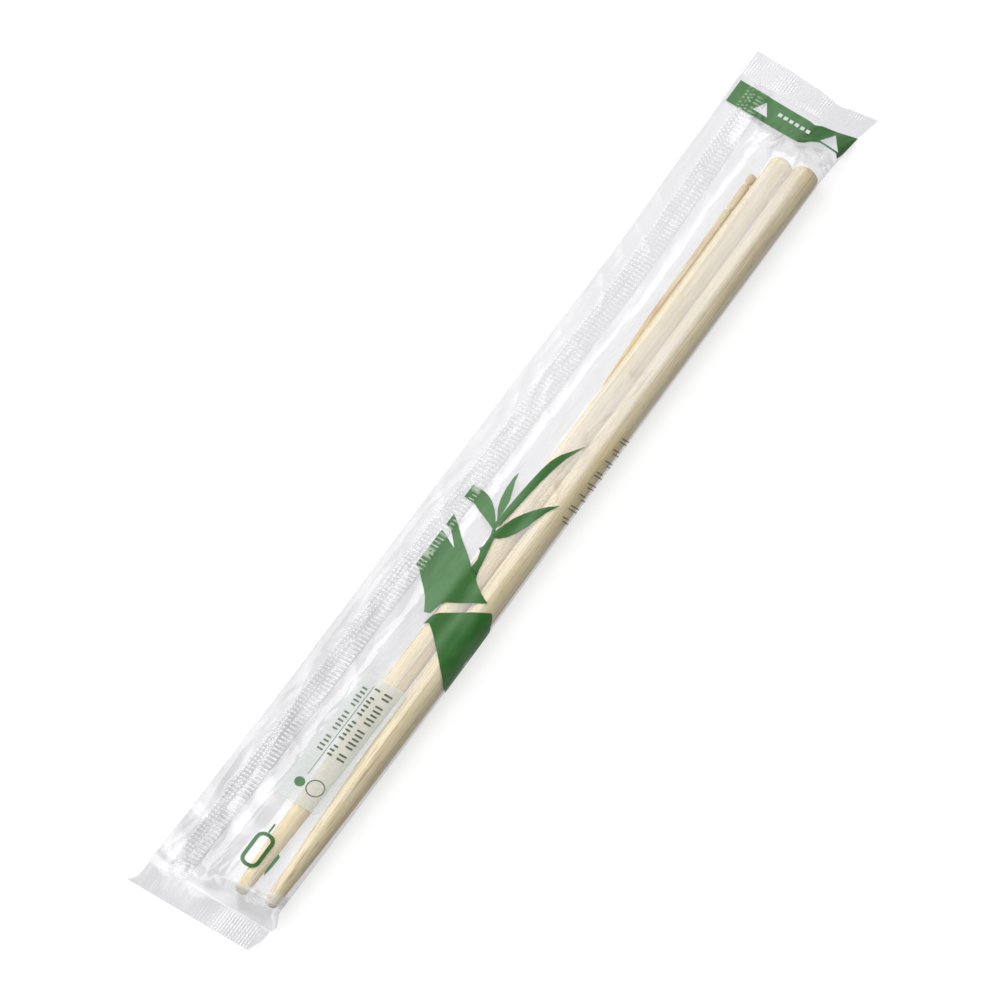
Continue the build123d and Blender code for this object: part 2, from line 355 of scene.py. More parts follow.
class WebSection:
    """The upper web's section at one place along the pack."""

    def __init__(self, y):
        self.y = y
        sizes = setting("film_sizes")
        sticks = setting("bamboo_sizes")
        length = sticks.stick_length
        distance = clamped(THICK_BUTT.y - y, 0, length)
        share = distance / length
        thick_top = THICK_BUTT.z + tapered_radius(THICK_RADIUS, distance) + sizes.clearance
        thin_top = THIN_BUTT.z + tapered_radius(THIN_RADIUS, distance) + sizes.clearance
        thick_x = THICK_BUTT.x + sticks.thick_drift * share
        thin_x = THIN_BUTT.x + sticks.thin_drift * share
        # Beyond the sticks the web comes down to the flat seals
        opening = clamped((y - THICK_BUTT.y) / (SEAL_OPENING - THICK_BUTT.y))
        closing = clamped((THICK_BUTT.y - length - y) / (THICK_BUTT.y - length - SEAL_CLOSING))
        down = max(opening, closing)
        narrowing = OPENING_NARROWING if opening else EDGE_MARGIN
        flat_x = HALF_WIDTH - narrowing - sizes.flat_height / 2
        self.fold_x = from_table(FOLD_INSETS, y) - HALF_WIDTH
        self.foot_x = FOOT_X + from_table(FOOT_PUSHES, y)
        self.foot_z = sizes.flat_height
        self.thick_top = mixed(thick_top, sizes.flat_height, down)
        self.thin_top = mixed(thin_top, sizes.flat_height, down)
        # It moves aside sooner past the tips, where it falls steeply
        aside = max(opening, clamped(1.7 * closing))
        self.thick_x = mixed(thick_x, flat_x, aside)
        self.thin_x = mixed(thin_x, flat_x - AXIS_SPACING, aside)

    def point(self, t):
        """A point of the web: t runs from 0 under the right side to 4 at the left fold."""
        if t <= 1:
            radius = self.thick_top / 2
            turn = (t - 0.5) * pi
            return self.thick_x + radius * cos(turn), radius + radius * sin(turn)
        if t <= 2:
            share = t - 1
            z = mixed(self.thick_top, self.thin_top, share)
            return mixed(self.thick_x, self.thin_x, share), z
        if t <= 3:
            share = t - 2
            z = mixed(self.thin_top, self.foot_z, eased(share))
            return mixed(self.thin_x, self.foot_x, share), z
        return mixed(self.foot_x, self.fold_x, t - 3), self.foot_z

    def seen_at(self, seen_x):
        """The place t that is seen over a place of the table, found by halving."""
        low = 0.5 - CAMERA_SIGHT
        high = 4.0
        for _ in range(18):
            middle = (low + high) / 2
            x, z = self.point(middle)
            if x - SEEN_SHIFT_X * z > seen_x:
                low = middle
            else:
                high = middle
        return (low + high) / 2


def ridge(x, y, across, along, seed, sharpness=1.0):
    """A field of creases with sharp crests, from 0 to 1."""
    value = abs(noise.noise((x / across, y / along, seed)))
    return clamped(1 - 2.4 * value) ** sharpness


# No stroke or crease reaches further along the pack from its middle than this
STROKE_REACH = 12

# Creases seen in the film over the butts and the tips: seen start and end, height, width
NAMED_CREASES = (
    ((19.0, 15.0), (23.0, 12.0), 0.55, 1.0),
    ((25.0, 16.8), (30.0, 15.2), 0.5, 0.9),
    ((14.5, 13.8), (12.0, 18.5), 0.6, 1.1),
    ((17.0, 14.0), (17.6, 25.0), 0.35, 0.7),
    ((9.0, 10.0), (11.5, 17.0), 0.3, 0.9),
    ((22.0, 16.5), (22.5, 20.5), 0.35, 0.8),
    ((26.6, 14.6), (30.9, 15.8), 0.6, 0.5),
    ((27.4, 16.2), (30.9, 17.2), 0.5, 0.45),
    ((26.0, 13.6), (29.6, 16.4), 0.5, 0.5),
    ((14.0, 232.0), (19.0, 237.0), 0.35, 1.6),
    ((21.0, 236.8), (26.5, 235.2), 0.3, 1.4),
)


def table_place(seen_x, seen_s):
    """The point of the table that lies at a seen place."""
    return (seen_x - SEEN_MIDDLE) * SEEN_UNIT, SEEN_START_Y - SEEN_UNIT * seen_s


def seen_place(x, y, z):
    """The seen place of a point of the part."""
    seen_x = (x - SEEN_SHIFT_X * z) / SEEN_UNIT + SEEN_MIDDLE
    return seen_x, (SEEN_START_Y - y - SEEN_SHIFT_Y * z) / SEEN_UNIT


def from_line(x, y, start, end):
    """Distance from a point to a line's stretch, and the share of the way along it."""
    run_x, run_y = end[0] - start[0], end[1] - start[1]
    share = clamped(((x - start[0]) * run_x + (y - start[1]) * run_y) / (run_x ** 2 + run_y ** 2))
    return hypot(x - start[0] - run_x * share, y - start[1] - run_y * share), share


def crease_relief(t, x, y, z):
    """How far the creases lift the web at a point."""
    height = setting("film_sizes").crease_height
    seen_x, seen_s = seen_place(x, y, z)
    # Creases along the film, creases that run aslant, and fine ones
    long_fold = ridge(x + 0.08 * y, y, across=5.5, along=42.0, seed=2.3, sharpness=1.6)
    cross_fold = ridge(
        x * 0.8 + y * 0.45, y - 0.7 * x, across=6.5, along=17.0, seed=7.9, sharpness=1.8
    )
    fine_fold = ridge(
        x * 0.9 - y * 0.22, y + 0.5 * x, across=2.2, along=8.0, seed=5.1, sharpness=1.3
    )
    # The web is taut over the sticks and slack beside them, and more so towards the tips
    slack = ramp(t, 2.1, 2.5) * (1 - 0.65 * ramp(t, 2.75, 3.1)) * (1 - ramp(t, 3.85, 4.0))
    slack *= mixed(0.6, 1.15, ramp(seen_s, 110, 200))
    lift = height * slack * (0.5 * long_fold + 0.45 * cross_fold + 0.25 * fine_fold)
    # It is wrinkled a little where it spans from stick to stick
    gap = window(t, 1.3, 1.75, 0.25) * (0.02 + 0.16 * window(seen_s, 84, 118, 8))
    lift += height * gap * (cross_fold + fine_fold)
    # Past the sticks' ends it stands like a tent
    over_butts = ramp(y, THICK_BUTT.y - 3, THICK_BUTT.y + 3)
    over_butts *= 1 - ramp(y, SEAL_OPENING - 3, SEAL_OPENING)
    over_tips = (1 - ramp(y, -112.0, -109.0)) * ramp(y, SEAL_CLOSING, SEAL_CLOSING + 2)
    tent = max(over_butts, over_tips) * window(t, 1.0, 3.2, 0.4) * (1 - 0.75 * ramp(y, 104.5, 108.0))
    lift += 0.5 * height * tent * (long_fold + cross_fold + fine_fold)
    for start, end, crest, width in NAMED_CREASES:
        if abs(seen_s - (start[1] + end[1]) / 2) < STROKE_REACH:
            away, share = from_line(seen_x, seen_s, start, end)
            if away < width:
                lift += crest * (1 - away / width) ** 1.3 * sin(pi * clamped(share, 0.15, 0.85))
    ripple = 0.03 * noise.noise((x / 1.4, y / 9.0, 4.4)) * ramp(t, 0.7, 1.1)
    return lift + ripple * (1 - ramp(t, 3.8, 4.0))


def web_point(section, t):
    """A point of the creased web, across the pack and upwards."""
    x, z = section.point(t)
    return x, z + crease_relief(t, x, section.y, z)


def seen_on_web(seen_x, seen_y):
    """The point of the creased web that is seen over a place of the table, found in steps."""
    y, lift = seen_y, 0.0
    for _ in range(7):
        section = WebSection(y)
        t = section.seen_at(seen_x + SEEN_SHIFT_X * lift)
        x, z = section.point(t)
        lift = mixed(lift, crease_relief(t, x, y, z), 0.7)
        y = seen_y - SEEN_SHIFT_Y * (z + lift)
    return Vector((x, y, z + lift))


# Strokes of the film, by seen start and end, strength and half width: painted highlights,
# and painted shade on folds, where a negative strength paints a clearer highlight instead
PAINTED_HIGHLIGHT_STROKES = (
    ((24.5, 234.1), (28.2, 232.6), 1.0, 0.8),
    ((28.0, 231.2), (31.0, 230.6), 0.4, 2.0),
    ((19.5, 233.4), (24.0, 232.4), 0.4, 1.9),
    ((18.8, 15.6), (22.6, 17.2), 0.4, 1.5),
    ((23.2, 14.4), (27.2, 16.2), 0.35, 1.2),
    ((12.5, 14.6), (15.6, 20.5), 0.25, 1.6),
)
SHADE_AND_GLINT_STROKES = (
    ((23.2, 234.6), (24.4, 236.2), 0.8, 1.3),
    ((24.4, 236.0), (29.5, 234.4), 1.0, 1.4),
    ((24.6, 232.2), (27.4, 231.0), 0.6, 1.0),
    ((1.8, 221.2), (5.2, 222.6), -0.9, 1.7),
    ((1.8, 231.2), (5.8, 233.2), -0.9, 2.1),
    ((1.4, 236.8), (6.4, 238.0), -0.9, 1.5),
    ((14.0, 238.6), (20.5, 236.2), -0.8, 1.9),
    ((8.0, 236.8), (15.0, 238.2), -0.6, 1.5),
    ((11.0, 208.5), (13.8, 212.0), -0.7, 2.8),
    ((10.0, 217.0), (14.4, 220.0), -0.7, 3.0),
    ((12.0, 226.0), (15.5, 234.0), 0.5, 3.4),
    ((1.5, 225.8), (6.5, 227.8), 0.6, 2.2),
    ((1.5, 235.0), (6.0, 235.8), 0.6, 0.9),
    ((2.0, 212.0), (5.5, 216.0), 0.5, 2.6),
    ((8.6, 13.9), (13.5, 15.2), 0.9, 0.9),
    ((15.6, 15.0), (16.6, 20.0), 0.5, 0.5),
    ((17.4, 15.2), (18.0, 19.0), 0.6, 0.4),
    ((21.0, 14.9), (25.5, 13.2), 0.8, 0.5),
    ((27.0, 14.6), (30.6, 17.6), 0.9, 0.5),
    ((25.6, 15.4), (30.4, 18.4), 0.7, 0.35),
    ((27.6, 13.2), (30.4, 15.8), 0.9, 0.7),
)


def stroked(strokes, seen_x, seen_s):
    """How strongly these strokes lie over a seen place, with soft and slightly ragged edges."""
    total = 0.0
    for first, last, strength, width in strokes:
        if abs(seen_s - (first[1] + last[1]) / 2) < STROKE_REACH:
            away, _ = from_line(seen_x, seen_s, first, last)
            away += 0.2 * width * noise.noise((seen_x / 5.0, seen_s / 5.0, 3.7))
            total += strength * (1 - ramp(away, 0.4 * width, width))
    return total


def painted_shade_at(t, x, y, z):
    """How much painted shade greys the film at a point: least at the butts, greying towards the tips."""
    seen_x, seen_s = seen_place(x, y, z)
    patches = clamped(0.5 + 1.3 * noise.noise((x / 5.0 + y / 18.0, y / 12.0, 12.1)))
    slack = ramp(t, 2.2, 2.8)
    # Painted shade: a little random grey, greying towards the right of the opening seal, over the closing
    # seal, and towards the tips, most over the slack film.
    painted_shade = 0.04 + 0.1 * patches + 0.5 * ramp(seen_x, 4, 31) * (1 - ramp(seen_s, 6, 8))
    painted_shade += 0.3 * ramp(seen_s, 237, 239)
    painted_shade += ramp(seen_s, 95, 200) * (0.25 + 0.6 * patches) * mixed(0.3, 1.0, slack)
    return clamped(painted_shade + stroked(SHADE_AND_GLINT_STROKES, seen_x, seen_s))


def haze_and_highlight_at(t, x, y, z):
    """How milky the web looks at a point: a slight real haze, and painted highlights laid over it."""
    seen_x, seen_s = seen_place(x, y, z)
    mottled = 0.5 + 0.5 * noise.noise((x / 4.0, y / 16.0, 9.7))
    streaky = clamped(0.5 + 0.9 * noise.noise((x / 1.1, y / 22.0, 1.3)))
    upper = 1 - 0.55 * ramp(seen_s, 80, 140)
    # A painted reflection lies milky white over the lit left sides of both sticks, from a ragged line near
    # the butts to the panel
    lean = 0.008 * (seen_s - 20)
    left = ramp(seen_x, 17.9 + lean, 19.1 + lean)
    right = 1 - ramp(seen_x, 24.8 + 1.6 * lean, 27.2 + 1.6 * lean)
    start = 24 + 5.0 * noise.noise((x / 2.0, 0.5, 3.1))
    lit_side_reflection = left * right * window(seen_s, start, 172, 9)
    haze_and_highlight = 0.02 + 0.03 * mottled
    haze_and_highlight += 0.42 * upper * lit_side_reflection * (0.75 + 0.25 * streaky)
    # Painted highlight strokes, and soft painted highlights on the slack film towards the tips
    haze_and_highlight += stroked(PAINTED_HIGHLIGHT_STROKES, seen_x, seen_s)
    haze_and_highlight += 0.1 * ramp(seen_s, 120, 235) * ramp(t, 2.3, 2.8) * mottled
    return clamped(haze_and_highlight, 0, 0.85)


# Pieces of the film


# The tube's columns in the four stretches of the upper web, and in the lower one
UPPER_COLUMNS = (22, 22, 44, 40)
LOWER_COLUMNS = 16
TUBE_ROWS = 600
SEAL_ROWS = 18
SEAM_COLUMNS = 34
SEAM_ROWS = 1850


def film_grid(columns, rows):
    """A grid one unit wide and long, with layers for the film's haze with painted highlights, and for its
    painted shade.
    """
    bm = bmesh.new()
    bmesh.ops.create_grid(bm, x_segments=columns, y_segments=rows, size=0.5)
    return bm, bm.verts.layers.float.new("haze_and_highlight"), bm.verts.layers.float.new("painted_shade")


def web_sections(rows):
    """The upper web's sections in even rows from seal to seal."""
    return [WebSection(mixed(SEAL_CLOSING, SEAL_OPENING, row / rows)) for row in range(rows + 1)]


def face_upwards(bm):
    """Turn the faces of an open sheet upwards."""
    bmesh.ops.recalc_face_normals(bm, faces=bm.faces)
    if sum(face.normal.z for face in bm.faces) < 0:
        bmesh.ops.reverse_faces(bm, faces=bm.faces)


def upper_place(column):
    """The place t of one column of the tube's upper web."""
    for stretch, count in enumerate(UPPER_COLUMNS):
        if column <= count:
            return stretch + column / count
        column -= count
    return float(len(UPPER_COLUMNS))


def build_tube(material):
    """The sleeve's tube, from seal to seal, as one closed face."""
    upper = sum(UPPER_COLUMNS)
    columns = upper + LOWER_COLUMNS
    bm, haze_and_highlight, painted_shade = film_grid(columns, TUBE_ROWS)
    sections = web_sections(TUBE_ROWS)
    for vert in bm.verts:
        column = round((vert.co.x + 0.5) * columns)
        section = sections[round((vert.co.y + 0.5) * TUBE_ROWS)]
        y = section.y
        if column <= upper:
            t = upper_place(column)
            x, z = web_point(section, t)
            vert[haze_and_highlight] = haze_and_highlight_at(t, x, y, z)
        else:
            share = (column - upper - 1) / (LOWER_COLUMNS - 1)
            t = 4.0
            x, z = mixed(section.fold_x, section.thick_x, share), 0.0
            vert[haze_and_highlight] = 0.02
        vert[painted_shade] = painted_shade_at(t, x, y, z)
        # The ends run out to the seals, almost closed
        seal_y = abs(SEAL_OPENING if y > 0 else SEAL_CLOSING)
        vert.co = (x, y, z * (1 - 0.9 * ramp(abs(y), seal_y - END_RAMP, seal_y)))
    bmesh.ops.remove_doubles(bm, verts=bm.verts, dist=1e-4)
    rims = [edge for edge in bm.edges if edge.is_boundary]
    bmesh.ops.holes_fill(bm, edges=rims, sides=0)
    for edge in rims:
        edge.smooth = False
    bmesh.ops.recalc_face_normals(bm, faces=bm.faces)
    return finish_piece(bm, "film_tube", material, ["film_sleeve"])


def build_seal(name, material, inner_y, outer_edge, left_edge, right_edge, pressed_at):
    """One crimped end seal: both webs welded and pressed into fine ribs along the pack."""
    sizes = setting("film_sizes")
    bm, haze_and_highlight, painted_shade = film_grid(8 * round(2 * HALF_WIDTH / sizes.crimp_pitch), SEAL_ROWS)
    for vert in bm.verts:
        along = vert.co.y + 0.5
        x = mixed(left_edge(along), right_edge(along), vert.co.x + 0.5)
        y = mixed(inner_y, outer_edge(x), along)
        rib = 0.5 + 0.5 * sin(2 * pi * x / sizes.crimp_pitch)
        patch = clamped(0.45 + 1.8 * noise.noise((x / 5.0, y / 5.0, 2.2)), 0.08, 1.0)
        rib *= ramp(along, 0.0, 0.25) * pressed_at(x, patch)
        wave = 0.12 + 0.12 * noise.noise((x / 7.0, y / 6.0, 6.6))
        vert.co = (x, y, wave + sizes.crimp_depth * rib)
        vert[painted_shade] = 0.8 * painted_shade_at(3.0, x, y, 0)
        # The ribs' crests get a painted highlight, milky white.
        vert[haze_and_highlight] = 0.08 + 0.12 * rib
    face_upwards(bm)
    for edge in bm.edges:
        edge.smooth = not edge.is_boundary
    seal = finish_piece(bm, name, material, ["film_sleeve"])
    wall = seal.modifiers.new("film wall", "SOLIDIFY")
    wall.thickness = WELDED_THICKNESS * MM
    wall.offset = 0
    return seal


def build_opening_seal(material):
    """The seal at the butts' end, its cut edge slightly wavy and its crimps patchy."""
    wave = ((-16.0, 0.0), (-8.0, 0.25), (0.0, 0.8), (6.6, 1.9), (9.5, 1.2), (15.2, 0.5))
    return build_seal(
        "film_seal_opening", material, SEAL_OPENING,
        lambda x: HALF_LENGTH - from_table(wave, x),
        lambda along: 0.15 * (1 - along) - HALF_WIDTH,
        lambda along: HALF_WIDTH - mixed(OPENING_NARROWING, 0.8, along),
        lambda x, patch: 1.5 * patch,
    )


def build_closing_seal(material):
    """The seal at the tips' end, cut straight, flared at its corners, crimped in the middle."""
    return build_seal(
        "film_seal_closing", material, SEAL_CLOSING,
        lambda x: -HALF_LENGTH,
        lambda along: mixed(CLOSING_NARROWING, 0.0, along ** 6) - HALF_WIDTH,
        lambda along: HALF_WIDTH - 1.3 * ramp(along, 0.3, 1.0),
        lambda x, patch: 0.1 * patch + 0.7 * window(x, 7.0, 12.5, 2.5),
    )


def seam_place(x, y):
    """Place of a point across the back seam, from 0 at its left edge."""
    drift = SEAM_DRIFT * ramp(y, SEAM_BEND_Y - 12, SEAL_OPENING + 12)
    return x - (SEAM_RIGHT - drift - SEAM_WIDTH)


def dash_height(place, y):
    """How high a dash of the back seam stands at a place across it, from 0 to 1."""
    shift = 0.0
    if place < NARROW_DASHES_END:
        column = floor(place / NARROW_DASH)
        across = 1 - ramp(abs(place - (column + 0.5) * NARROW_DASH), 0.2, 0.38)
        # The short dashes are staggered where the seam runs into the opening seal
        if y > STAGGER_Y:
            shift = 0.5 * (column % 2)
    elif place > WIDE_DASH_START:
        across = 1 - ramp(abs(place - WIDE_DASH_MIDDLE), 1.0, 1.25)
    else:
        return 0.0
    phase = (y / setting("film_sizes").seam_pitch + shift) % 1.0
    return across * (1 - ramp(abs(phase - 0.5), 0.13, 0.3))


def seam_relief(place, x, y):
    """Height of the seam's face over the web, and how strongly it is pressed there."""
    if not 0 <= place <= SEAM_WIDTH:
        return 0.0, 0.0
    strength = clamped(0.66 + 1.4 * noise.noise((x / 6.0, y / 15.0, 5.5)), 0.45, 1.0)
    dash = dash_height(place, y) * strength * mixed(0.8, 1.0, ramp(-y, -40, 60))
    edge = window(place, 0.25, SEAM_WIDTH - 0.25, 0.25)
    return 0.02 + 0.07 * edge + setting("film_sizes").seam_depth * dash, dash


def build_seam(material):
    """The back seam: both lips of the sheet welded, embossed and folded flat to the left."""
    bm, haze_and_highlight, painted_shade = film_grid(SEAM_COLUMNS, SEAM_ROWS)
    sections = web_sections(SEAM_ROWS)
    for vert in bm.verts:
        section = sections[round((vert.co.y + 0.5) * SEAM_ROWS)]
        y = section.y
        place = (vert.co.x + 0.5) * SEAM_WIDTH
        x = place - seam_place(0, y)
        t = 3 + clamped((section.foot_x - x) / (section.foot_x - section.fold_x))
        rise, dash = seam_relief(place, x, y)
        vert.co = (x, y, web_point(section, t)[1] + rise)
        vert[painted_shade] = painted_shade_at(3.5, x, y, 0)
        # The seam's dashes get a painted highlight, milky white, more towards the tips.
        vert[haze_and_highlight] = clamped(0.03 + (0.35 + 0.5 * ramp(-y, -20, 60)) * dash)
    face_upwards(bm)
    return finish_piece(bm, "film_back_seam", material, ["film_sleeve"])


# The printing. Its outlines are seen places, across and along the pack


BAND = (
    (1.3, 7.6), (8.0, 7.8), (14.0, 8.0), (19.5, 8.1), (21.0, 8.4), (22.5, 7.7), (26.0, 7.2), (28.5, 6.6),
    (30.5, 6.1), (30.2, 9.0), (29.9, 11.5), (29.5, 13.0), (28.6, 11.9), (25.5, 11.6), (24.2, 11.6),
    (22.6, 12.4), (21.4, 13.6), (20.2, 14.2), (16.0, 14.1), (10.0, 13.9), (5.0, 13.8), (1.4, 13.8),
)
BAND_WINDOWS = (
    ((9.2, 9.3), (11.2, 12.5), (7.4, 12.4)),
    ((26.2, 8.1), (28.9, 11.5), (24.0, 11.1)),
)
LONG_LEAF = (
    (23.6, 103.2), (22.7, 105.5), (21.7, 108.2), (20.9, 112.0), (20.3, 116.0), (20.0, 119.0),
    (19.6, 123.0), (19.2, 127.0), (18.9, 129.5), (18.5, 131.0), (17.9, 129.0), (17.8, 127.0),
    (18.1, 121.0), (18.4, 117.0), (18.8, 113.0), (19.3, 110.3), (20.3, 107.8),
)
SMALL_LEAF = (
    (15.2, 116.3), (15.7, 118.5), (16.6, 121.0), (17.4, 123.3), (17.7, 126.0), (17.9, 129.0),
    (17.2, 127.8), (16.3, 126.3), (15.5, 124.0), (15.0, 121.0), (14.9, 118.0),
)
RIGHT_LEAF = (
    (27.0, 118.4), (25.6, 121.0), (24.6, 124.0), (24.0, 126.3), (23.0, 129.0), (21.8, 131.0),
    (20.5, 132.3), (19.4, 132.7), (18.8, 131.6), (19.7, 128.5), (20.4, 126.5), (21.8, 124.0),
    (23.4, 121.8), (25.0, 120.0),
)
LEFT_LEAF = (
    (8.7, 124.3), (11.5, 124.3), (13.0, 124.7), (14.5, 125.6), (16.0, 127.0), (17.0, 128.2), (18.0, 129.8),
    (18.4, 131.2), (16.6, 130.3), (15.0, 129.6), (13.0, 128.8), (11.5, 128.0), (8.7, 127.8),
)
STEM = (
    (17.8, 128.6), (18.6, 130.4), (19.6, 132.6), (20.2, 135.5), (20.7, 138.0), (21.2, 141.0), (21.7, 142.6),
    (19.4, 142.2), (19.5, 139.0), (19.0, 137.2), (18.3, 136.6), (18.8, 135.4), (18.6, 132.6), (17.6, 129.6),
)
UPPER_CANE = (
    (9.2, 132.5), (11.5, 134.3), (14.0, 136.7), (17.0, 139.0), (18.7, 140.5), (19.6, 141.6), (21.3, 141.6),
    (22.0, 143.3), (23.0, 144.2), (24.8, 145.5), (26.0, 146.2), (27.3, 146.8), (24.5, 148.4),
    (22.0, 150.1), (19.7, 151.4), (19.0, 152.2), (18.9, 153.0), (18.4, 155.5), (17.1, 156.0), (16.3, 154.6),
    (15.3, 152.9), (14.0, 151.4), (12.0, 149.5), (10.5, 147.9), (9.2, 147.2), (9.2, 137.2), (11.0, 138.0),
    (12.5, 138.8), (13.8, 139.4), (12.3, 137.7), (11.0, 136.3), (9.2, 135.5),
)
LOWER_CANE = (
    (19.2, 155.3), (20.0, 154.3), (22.0, 153.0), (24.5, 151.2), (27.0, 149.6), (29.3, 148.3),
    (30.2, 149.5), (30.9, 151.2), (31.6, 152.6), (32.0, 161.0), (32.0, 170.0), (31.2, 169.4), (30.5, 168.7),
    (29.0, 167.0), (27.0, 164.9), (25.0, 162.8), (23.5, 161.3), (22.0, 159.7), (20.5, 158.4),
    (19.4, 157.6), (18.6, 158.5), (18.8, 156.5),
)
SLIVER = ((23.9, 221.5), (24.6, 222.0), (24.5, 225.0), (24.2, 227.5), (23.8, 226.5), (23.8, 223.5))
# Left, top, right and bottom of the plain marks, and the middles of the round ones
LEADER = (19.1, 216.0, 19.5, 218.4)
RING = (17.3, 218.5, 21.9, 227.6)
RING_HOLE = (18.2, 219.4, 21.0, 226.7)
PANEL = (14.9, 174.6, 25.5, 209.5)
# A thin dark line on the panel is painted shade along the thin stick's edge, printed in dark ink.
PANEL_SHADOW_LINE = (18.24, 176.8, 18.38, 202.2)
PANEL_RING = (21.6, 204.2)
PANEL_DOT = (17.9, 204.6)
# How far a print under or over another one lies from it
INK_LAYER = 0.03


def rounded_outline(left, top, right, bottom, radius):
    """Corners and arcs of a rounded rectangle."""
    points = []
    for centre_x, centre_y, start in (
        (right - radius, top + radius, -pi / 2), (right - radius, bottom - radius, 0),
        (left + radius, bottom - radius, pi / 2), (left + radius, top + radius, pi),
    ):
        for step in range(5):
            turn = start + step * pi / 8
            points.append((centre_x + radius * cos(turn), centre_y + radius * sin(turn)))
    return points


def add_loop(bm, outline):
    """Add a closed outline of edges."""
    verts = [bm.verts.new((*table_place(*point), 0)) for point in outline]
    return [bm.edges.new(pair) for pair in zip(verts, verts[1:] + verts[:1])]


def cut_up(bm, axis, step):
    """Cut a flat shape in strips across one axis, so that it can follow the film."""
    low = min(vert.co[axis] for vert in bm.verts)
    high = max(vert.co[axis] for vert in bm.verts)
    normal = Vector((axis == 0, axis == 1, 0))
    for i in range(1, int((high - low) / step) + 1):
        geometry = bm.verts[:] + bm.edges[:] + bm.faces[:]
        place = normal * (low + i * step)
        bmesh.ops.bisect_plane(bm, geom=geometry, dist=1e-5, plane_co=place, plane_no=normal)


def build_print(name, shapes, material, cut_across=0.45, cut_along=0.9, layer=0.0):
    """Print these shapes on the upper web and its seam. Each is an outline with its holes."""
    bm = bmesh.new()
    for outlines in shapes:
        edges = [edge for outline in outlines for edge in add_loop(bm, outline)]
        bmesh.ops.triangle_fill(bm, use_beauty=True, use_dissolve=False, edges=edges)
    cut_up(bm, 0, cut_across)
    cut_up(bm, 1, cut_along)
    for face in bm.faces:
        if face.normal.z < 0:
            face.normal_flip()
    lift = setting("print_inks").lift + layer
    dash_highlight = bm.verts.layers.float.new("dash_highlight")
    stand_off = bm.verts.layers.float.new("stand_off")
    for vert in bm.verts:
        point = seen_on_web(vert.co.x, vert.co.y)
        section = WebSection(point.y)
        # Where the film stands off the sticks, the ink gets a painted reflection veil, paler.
        off_thick = ramp(abs(point.x - section.thick_x), 1.2, 3.6)
        off_thin = ramp(abs(point.x - section.thin_x), 1.0, 3.4)
        vert[stand_off] = off_thick * off_thin
        # The ink stands off the film's face, which is round beyond the thick stick's crown
        middle = Vector((section.thick_x, point.y, section.thick_top / 2))
        outward = point - middle if point.x > section.thick_x else Vector((0, 0, 1))
        # The seam's dashes are kept, for a painted highlight on the ink.
        rise, vert[dash_highlight] = seam_relief(seam_place(point.x, point.y), point.x, point.y)
        vert.co = point + outward.normalized() * lift + Vector((0, 0, rise))
    bmesh.ops.triangulate(bm, faces=bm.faces)
    return finish_piece(bm, name, material)


def bar(left, top, right, bottom):
    """Outline of a short printed bar."""
    return [(left, top), (right, top), (right, bottom), (left, bottom)]


def small_marks():
    """Three rows of plain short bars on the panel, with uneven ends and a few gaps."""
    shapes = []
    for row, (left, right) in enumerate(((16.2, 17.7), (18.8, 20.1), (21.2, 23.2))):
        for i in range(17):
            top = 177.0 + 1.15 * i
            if (i * 7 + row * 5) % 6:
                shapes.append([bar(left + 0.12 * (i % 3), top, right - 0.15 * (i % 2), top + 0.5)])
    return shapes


def band_marks():
    """Plain bars in the middle of the printed band."""
    shapes = []
    for i in range(6):
        left = 12.9 + 1.45 * i
        shapes.append([bar(left, 10.0 + 0.05 * i, left + 0.95, 10.9 + 0.05 * i)])
    return shapes


def side_strokes():
    """A row of plain strokes along the thick stick's side."""
    shapes = []
    for i in range(8):
        top = 97.0 + 3.3 * i
        shapes.append([bar(28.9, top, 30.9 - 0.5 * (i % 2), top + 0.28)])
        shapes.append([bar(28.9 + 0.5 * (i % 3), top + 0.95, 30.9, top + 1.23)])
    return shapes


def round_outline(centre_x, centre_y, radius, steps=28):
    """Corners of a round outline."""
    turns = [2 * pi * i / steps for i in range(steps)]
    return [(centre_x + radius * cos(turn), centre_y + radius * sin(turn)) for turn in turns]


# Sticks and toothpick


def spun_piece(name, profile, head, drift, bow, length, material, node):
    """Turn a profile of distances and radii round its axis, bend it and lay it in its place."""
    bm = bmesh.new()
    verts = [bm.verts.new((radius, -distance, 0)) for distance, radius in profile]
    for pair in zip(verts, verts[1:]):
        bm.edges.new(pair)
    bmesh.ops.spin(
        bm, geom=bm.verts[:] + bm.edges[:], cent=(0, 0, 0), axis=(0, 1, 0), angle=2 * pi,
        steps=40, use_merge=True,
    )
    bmesh.ops.remove_doubles(bm, verts=bm.verts, dist=1e-4)
    bmesh.ops.recalc_face_normals(bm, faces=bm.faces)
    for vert in bm.verts:
        vert.co.x += bow * sin(pi * vert.co.y / length) ** 2
    lean = Matrix.Rotation(asin(drift / length), 4, "Z")
    bmesh.ops.transform(bm, matrix=Matrix.Translation(head) @ lean, verts=bm.verts)
    return finish_piece(bm, name, material, [node])


def rounded_end(radius, shoulder, steps=6):
    """Profile of a turned end, from its middle to its full radius."""
    points = [(0.0, 0.0)]
    for step in range(steps + 1):
        turn = pi / 2 * step / steps
        points.append((shoulder * (1 - cos(turn)), radius - shoulder + shoulder * sin(turn)))
    return points


def stick_profile(radius):
    """A chopstick's profile, from the butt to the tip."""
    sizes = setting("bamboo_sizes")
    length = sizes.stick_length
    profile = rounded_end(radius, 0.55 * radius)
    places = [12.0 * i for i in range(1, 12)] + [length - sizes.taper_length + 5.0 * i for i in range(15)]
    profile += [(place, tapered_radius(radius, place)) for place in places]
    tip = rounded_end(sizes.tip_diameter / 2, 0.6, 4)
    return profile + [(length - distance, r) for distance, r in reversed(tip)]


